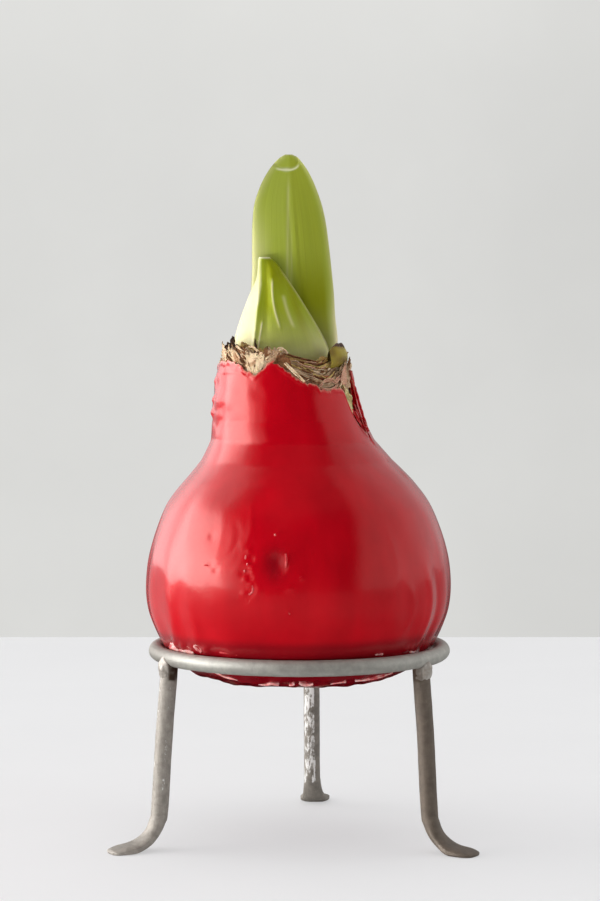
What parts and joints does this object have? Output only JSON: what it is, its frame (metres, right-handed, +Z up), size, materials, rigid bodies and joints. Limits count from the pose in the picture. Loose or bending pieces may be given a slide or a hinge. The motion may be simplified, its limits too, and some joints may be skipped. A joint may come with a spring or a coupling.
{
  "type": "waxed amaryllis bulb on a ring stand",
  "caption": "Amaryllis bulb dipped in wax, sprouting young leaves from its papery neck, resting in the ring of a small three-legged steel rod stand.",
  "frame": {"origin": "on the surface the stand stands on, under the middle of the overall box", "axes": "+Z up along the bulb and its leaves; -Y is the side with the short front leaf and the two front feet; +X is to the right from that side"},
  "size_m": [0.12, 0.1198, 0.2253],
  "materials": {
    "wax": "glossy dipped wax, deep red, slightly uneven",
    "papery_skin": "dry papery bulb skin, brown and tan, torn at the top",
    "leaf": "smooth waxy leaf, yellow-green with fine lengthwise veins, paler to the base",
    "leaf_pale": "pale yellow-green leaf base with a dry brown tip",
    "steel": "hand-bent raw steel rod, dull grey with burnished patches and weld marks"
  },
  "bodies": {
    "root": {"wax_coat": "wax", "bulb": "papery_skin", "leaf_tall_front": "leaf", "leaf_tall_back": "leaf", "leaf_short": "leaf", "leaf_stub": "leaf_pale", "stand_ring": "steel", "stand_leg_left": "steel", "stand_leg_right": "steel", "stand_leg_back": "steel"}
  },
  "joints": []
}
